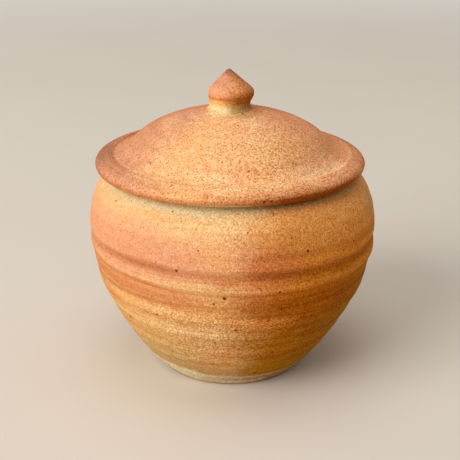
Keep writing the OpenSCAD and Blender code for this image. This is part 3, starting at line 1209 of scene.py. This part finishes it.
# %% Clay body
SAND_SCALE = 1650.0
PALE_GRAIN = (1.22, 1.42, 1.90, 1.0)
DARK_GRAIN = (0.58, 0.42, 0.28, 1.0)
PALE_SPECKS = (1.3, 0.34, 0.5, 0.3)
DARK_SPECKS = (1.0, 0.34)
DARK_SHIFT = 0.7
IRON_SPECKS = (4.2, 0.46, 0.25, 0.1)
IRON_SHARE = 0.93
GLINT = 0.055
DULL_GRAIN = (0.0, 0.0, 0.35, 1.0)
BRIGHT_GRAIN = (1.0, 1.0, 0.65, 1.0)
TOOTH_DEPTH = 0.16 * MM
SAND_TOOTH = 0.7
PALE_TOOTH = 0.5
IRON_PIT = 0.4
LINE_TOOTH = 0.9
ROUGHNESS = (0.66, 0.86)
SHINE = 0.08


def clay_body(clay, colour, bare, coarse, speck_share, spots, turning_lines):
    """Adds what lies in the clay itself, and wires the finish to its shader."""
    sandy = clay.cloud(clay.place, SAND_SCALE, rough=0.7)
    glint = clay.ramp(sandy, *NOISE_WIDE)
    colour = sand_tints(clay, clay.mix(bare, colour, RAW_CLAY), coarse, glint)
    pale = specks(clay, *PALE_SPECKS)
    colour = clay.tint(pale, colour, PALE_GRAIN)
    colour = clay.tint(specks(clay, *DARK_SPECKS, speck_share, DARK_SHIFT), colour, DARK_GRAIN)
    brightness = clay.add("ShaderNodeSeparateColor", {0: colour}, 0)
    glint_light = clay.mix(glint, DULL_GRAIN, BRIGHT_GRAIN)
    colour = clay.mix(clay.times(brightness, GLINT), colour, glint_light, "LINEAR_LIGHT")
    colour = clay.vector("MAXIMUM", colour)
    iron = clay.maths("MAXIMUM", specks(clay, *IRON_SPECKS), spots)
    colour = clay.mix(clay.times(iron, IRON_SHARE), colour, IRON)
    clay.feed(clay.shader.inputs["Base Color"], colour)

    tooth = clay.times(sandy, SAND_TOOTH)
    tooth = clay.maths("ADD", tooth, clay.times(pale, PALE_TOOTH))
    tooth = clay.maths("SUBTRACT", tooth, clay.times(iron, IRON_PIT))
    tooth = clay.maths("ADD", tooth, clay.times(turning_lines, LINE_TOOTH))
    bump = clay.add("ShaderNodeBump", {"Height": tooth, "Distance": TOOTH_DEPTH, "Strength": 1.0})
    clay.feed(clay.shader.inputs["Normal"], bump)
    clay.feed(clay.shader.inputs["Roughness"], clay.ramp(sandy, *NOISE_SPAN, *ROUGHNESS))
    clay.shader.inputs["Specular IOR Level"].default_value = SHINE
    return clay.material


print("the tooth of the clay is", TOOTH_DEPTH / MM, "mm deep")

# %% [markdown]
# ## Firing the jar
# The largest iron spots are set one by one, where the photograph shows them: side, height and radius. The
# clay is coarsest low in front, where sand shows through. Then the jar is fired: the bmesh becomes a
# smooth mesh with its finish, rides on its body of the frame, and stands in for its node there, which is
# hidden.

# %% Jar finish
SPOT_CORE = 0.4
JAR_SPOTS = [
    (-20.5, 57.4, 0.7), (-3, 48.3, 0.9), (1.2, 34.5, 0.7), (-7, 45.8, 0.6), (17, 49.9, 0.7),
    (18.5, 42.5, 0.6), (-51, 29.5, 0.8), (-7.4, 27.7, 0.6), (19.6, 20.8, 0.8), (14.4, 8, 0.7),
    (28, 63.4, 0.7), (-31, 37.6, 0.5), (-24.4, 76.3, 0.45),
]
JAR_SPECKS = 0.15
COARSE_SIDE = (15, 0.5, 0.98, 0.75)
COARSE_ALL_ROUND = 0.25
COARSE_BELOW = (50.0, 38.0)
COARSE_ABOVE = (10.0, 24.0, 0.5, 1.0)
TURNING_LINES = (2.0, 0.7, 1.0)


def iron_spots(clay, places):
    """Single iron spots, each a place on the surface and a radius in metres."""
    total = 0.0
    for place, size in places:
        away = clay.vector("DISTANCE", clay.place, tuple(place), output="Value")
        total = clay.maths("MAXIMUM", clay.ramp(away, size, size * SPOT_CORE), total)
    return total


def on_wall(side, height):
    """A place on the jar's outer wall, with all its marks."""
    curve = min(lower_wall + shoulder, key=lambda point: abs(point.z - height))
    plain = round_the_jar(side, curve.x, height)
    return plain + outwards(plain) * wall_mark(plain) + Vector((swing_at(height), 0, 0))


def jar_finish():
    clay = Stoneware("flashed_jar_clay", TURNED)
    colour = finger_lines(clay, flame_colours(clay))
    colour = foot_colours(clay, under_the_lid(clay, colour))
    colour = shaded_wall(clay, colour)
    spots = iron_spots(clay, [(on_wall(side, z * MM), size * MM) for side, z, size in JAR_SPOTS])
    coarse = clay.maths("ADD", clay.facing(*COARSE_SIDE), COARSE_ALL_ROUND)
    coarse = clay.times(clay.ramp(clay.uneven, *COARSE_BELOW), coarse)
    coarse = clay.times(clay.ramp(clay.uneven, *COARSE_ABOVE), coarse)
    turning = streaks(clay, *TURNING_LINES)
    return clay_body(clay, colour, clay.attribute(BARE), coarse, JAR_SPECKS, spots, turning)


print(len(JAR_SPOTS), "iron spots on the jar")

# %% Fire the jar
SHARP_ANGLE = math.radians(50)


def fire(bm, name, body, node, finish):
    """Turns a thrown bmesh into the finished piece that stands for a node of the frame."""
    open_edges = sum(1 for edge in bm.edges if len(edge.link_faces) != 2)
    triangles = sum(len(face.verts) - 2 for face in bm.faces)
    mesh = bpy.data.meshes.new(name)
    bm.to_mesh(mesh)
    bm.free()
    mesh.shade_smooth()
    mesh.set_sharp_from_angle(angle=SHARP_ANGLE)
    mesh.materials.append(finish)
    piece = bpy.data.objects.new(name, mesh)
    bpy.context.scene.collection.objects.link(piece)
    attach(piece, body)
    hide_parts(node)
    print(name, triangles, "triangles,", open_edges, "open edges")


fire(jar_bm, "jar_thrown", "jar", "jar_body", jar_finish())

# %% [markdown]
# ## The lid's colours
# The dome is a peppered sandy peach. It turns salmon and then mauve towards the brim, most of all on the
# left, and the front of the lip on the right is burnt to rust, deepened with painted shade where it faces
# down and away from the light. A pale ring of clay lies round the foot of the knob, where it was luted on,
# with painted shade and a painted shadow of the knob on its right. The layers are those of the jar, with
# places measured out from the middle. On the lip, which hangs almost straight down, colours go by the
# height over the rim instead.

# %% Lid flame
LID_SIDES = [
    ((-100, 0.3, 0.9, 0.9), DUSKY_PINK), ((85, 0.4, 1.0, 0.9), WARM_SALMON), ((180, 0.0, 0.6, 0.9), BLUSH),
]
LID_FLASHES = [
    (-95, 30, 50, 14, BLUSH, 0.35),
    (-95, 49, 60, 7, MAUVE, 1.0),
    (-98, 47, 18, 3, SMOKE, 0.35),
    (-52, 49.5, 34, 5, DUSKY_PINK, 0.9),
    (-67, 50, 18, 3, BLUSH, 0.4),
    (-76, 49.6, 14, 3, SMOKE, 0.3),
    (-30, 44, 16, 1.8, WARM_SALMON, 0.6),
    (30, 50, 50, 4, DEEP_SALMON, 1.0),
    (12, 49.4, 24, 2.6, DEEP_SALMON, 0.6),
    # this patch and the next are partly painted highlight on the bead's crest in front
    (12, 45.4, 20, 4.5, PEACH, 0.8),
    (9, 45.2, 22, 1.7, IVORY, 0.7),
    (-8, 48.6, 14, 2, WARM_SALMON, 0.45),
    (50, 45.5, 20, 5, PEACH, 0.7),
    (30, 47.4, 12, 4, ROSE, 0.5),
    (88, 48, 36, 8, BLUSH, 0.65),
    (108, 47.5, 22, 5, MAUVE, 0.7),
    (90, 49.8, 24, 3, TAWNY, 0.8),
    (82, 50.6, 22, 1.8, RUST, 0.4),
    (-12, 40, 24, 5, IVORY, 0.5),
    (51, 42.4, 24, 5, IVORY, 0.55),
    (54, 38, 20, 7, PEACH, 0.5),
    (80, 21, 18, 5, BLUSH, 0.4),
    (-64, 27, 20, 5, PEACH, 0.35),
    (-82, 21.5, 22, 5, IVORY, 0.25),
    (26, 19.5, 24, 4, IVORY, 0.3),
    (-62, 14, 30, 3.5, IVORY, 0.3),
    (48, 14.5, 26, 4, CREAM, 0.35),
    (-18, 10.5, 22, 2.5, GREY_CLAY, 0.5),
    (56, 38.5, 26, 8, PALE_SALMON, 0.5),
    (36, 31, 34, 8, PALE_TAN, 0.4),
    (-75, 23.5, 26, 5, PALE_SALMON, 0.6),
    (-38, 9, 30, 3, IVORY, 1.0),
    # painted shade and the knob's painted shadow on the dome, right of the knob
    (25, 10.5, 62, 4, OLIVE, 0.8),
    (60, 9.8, 40, 2.2, TAWNY, 0.45),
]
DOME_PATCHES = 30.0
BEAD_HIGHLIGHT_LINE = (45.2, 0.9)
BEAD_HIGHLIGHT_LINE_SIDE = (54, 0.86, 0.98, 0.7)
DEEP_SHADE = (0.66, 0.56, 0.46, 1.0)
SCRATCH_LINE = (SCRATCH_R / MM, 0.4)
SCRATCH_SEEN = (SCRATCH_SIDE, 0.8, 0.97, 0.9)
LID_STREAKS = (0.9, 3.4)
LID_STREAK_SHARE = 0.2


def dome_colours(clay):
    broad = clay.cloud(clay.place, DOME_PATCHES, detail=3.0)
    colour = clay.mix(clay.ramp(broad, *NOISE_SPAN), PEACH, APRICOT)
    for side, shade in LID_SIDES:
        colour = clay.mix(clay.facing(*side), colour, shade)
    for flash in LID_FLASHES:
        colour = lay_flash(clay, colour, *flash)
    # a painted highlight along the crest of the bead
    painted_bead_highlight = clay.times(ridge(clay, clay.hand_drawn, *BEAD_HIGHLIGHT_LINE), clay.facing(*BEAD_HIGHLIGHT_LINE_SIDE))
    colour = clay.mix(painted_bead_highlight, colour, IVORY)
    scratch = clay.times(ridge(clay, clay.radius, *SCRATCH_LINE), clay.facing(*SCRATCH_SEEN))
    colour = clay.tint(scratch, colour, DEEP_SHADE)
    return tint_streaks(clay, colour, streaks(clay, *LID_STREAKS), LID_STREAK_SHARE)


print(len(LID_FLASHES), "flashes on the lid")

# %% Fire the lid
brim_mm = brim_r / MM
LID_SPOTS = [
    (28, 9.2, 0.6), (8, 17.6, 0.55), (50, 38.4, 0.45), (73, 42.3, 0.5), (59, 25.4, 0.45),
    (36, 31.2, 0.45), (26, 24, 0.4), (-27, brim_mm + 2, 0.7), (12.3, brim_mm + 0.3, 0.7),
    (15.2, brim_mm + 0.3, 0.55),
]
LIP_RUST = (3.0, 1.0, 0.0, 0.5)
LIP_LICKED_AND_SHADED = ((4.3, 1.8), (38, 0.72, 0.95))
LIP_EDGE_HIGHLIGHT = ((1.3, 0.4), (0, 0.94, 0.985, 0.9))
LID_COARSE = 0.4
LID_SPECKS = 0.9
LID_TURNING_LINES = (2.0, 0.8, 1.0)


def on_lid(side, radius):
    """A place on the lid, out from its middle and past the edge of the brim on down the lip."""
    drop = lip.z - (radius - brim_r)
    if drop < lip.z:
        place = min(lip_curve, key=lambda point: abs(point.z - drop))
    else:
        place = min(dome + gully_curve + brim_curve, key=lambda point: abs(point.x - radius))
    return round_the_jar(side, place.x, place.z)


def lid_finish():
    clay = Stoneware("flashed_lid_clay", "radius")
    colour = dome_colours(clay)
    over_rim = clay.maths("SUBTRACT", clay.height, rim_z / MM)
    colour = clay.mix(clay.ramp(over_rim, *LIP_RUST), colour, RUST)
    # burnt rust with painted shade on the front right of the lip
    licked_and_shaded = clay.zone(over_rim, *LIP_LICKED_AND_SHADED)
    colour = clay.mix(licked_and_shaded, colour, BURNT_AND_SHADED_LIP)
    # a thin painted highlight along the lower edge of the lip, in front
    colour = clay.mix(clay.zone(over_rim, *LIP_EDGE_HIGHLIGHT), colour, BONE)
    bare = clay.ramp(clay.attribute(BARE), clay.times(licked_and_shaded, LIP_BARE), 1.0)
    spots = iron_spots(clay, [(on_lid(side, r * MM), size * MM) for side, r, size in LID_SPOTS])
    turning = streaks(clay, *LID_TURNING_LINES)
    return clay_body(clay, colour, bare, LID_COARSE, LID_SPECKS, spots, turning)


fire(lid_bm, "lid_thrown", "lid", "lid", lid_finish())

# %% [markdown]
# ## The knob's colours
# The knob caught the most flame: its cone is salmon and ends in a mauve-grey point, and the neck is pale
# where damp clay was smoothed round it. Two ladders hold the lit and the shaded side, as on the jar: the
# shaded one carries painted shade, olive at the neck with a brown ring under the widest part, and more
# painted shade darkens the far right. At both sides, the skirt of slip takes the colour of the dome.

# %% Knob finish
knob_top = (tip_z - crown_z) / MM
KNOB_LIT = [
    (0, IVORY), (1.8, IVORY), (2.9, SAND), (3.9, OCHRE), (4.9, TAWNY), (5.9, SALMON), (7, SALMON),
    (knob_top - 5, DUSKY_PINK), (knob_top - 2.6, DUSKY_PINK), (knob_top - 1.2, MAUVE),
    (knob_top - 0.3, SMOKE),
]
KNOB_SHADED = [
    (0, OLIVE), (2, OLIVE), (3.2, BROWN), (5.6, BROWN), (6.6, TAWNY), (7.8, DEEP_SALMON),
    (knob_top - 4.4, DEEP_SALMON), (knob_top - 2.6, BLUSH), (knob_top - 1.2, MAUVE),
    (knob_top - 0.3, SMOKE),
]
KNOB_SHADED_SIDE = (55, 0.1, 0.85)
SLIP_SKIRT = (1.0, 0.0)
SLIP_SIDES = [((-85, 0.55, 0.9), PEACH), ((85, 0.6, 0.9), WARM_SALMON)]
KNOB_SHADE_SIDE = (85, 0.5, 1.0, 0.7)
KNOB_COARSE = 0.15
KNOB_SPECKS = 0.4


def knob_finish():
    clay = Stoneware("flashed_knob_clay", "height")
    over_crown = clay.maths("SUBTRACT", clay.height, crown_z / MM)
    lit = clay.ladder(over_crown, KNOB_LIT)
    shaded = clay.ladder(over_crown, KNOB_SHADED)
    colour = clay.mix(clay.facing(*KNOB_SHADED_SIDE), lit, shaded)
    for side, shade in SLIP_SIDES:
        colour = clay.mix(clay.zone(over_crown, SLIP_SKIRT, side), colour, shade)
    # painted shade on the far right of the knob
    colour = clay.tint(clay.facing(*KNOB_SHADE_SIDE), colour, DEEP_SHADE)
    return clay_body(clay, colour, 0.0, KNOB_COARSE, KNOB_SPECKS, 0.0, streaks(clay, *TURNING_LINES))


fire(knob_bm, "knob_thrown", "lid", "lid_knob", knob_finish())

# %% [markdown]
# ## The size, once more
# Both boxes are set side by side: that of the packed model, measured before anything was made, and that
# of the finished pieces, and how far the size grew is printed.

# %% Compare the sizes and finish
seen_low, seen_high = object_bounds()
grown = (seen_high - seen_low) - (cad_high - cad_low)
print("size grew by", [round(v / MM, 3) for v in grown], "mm")
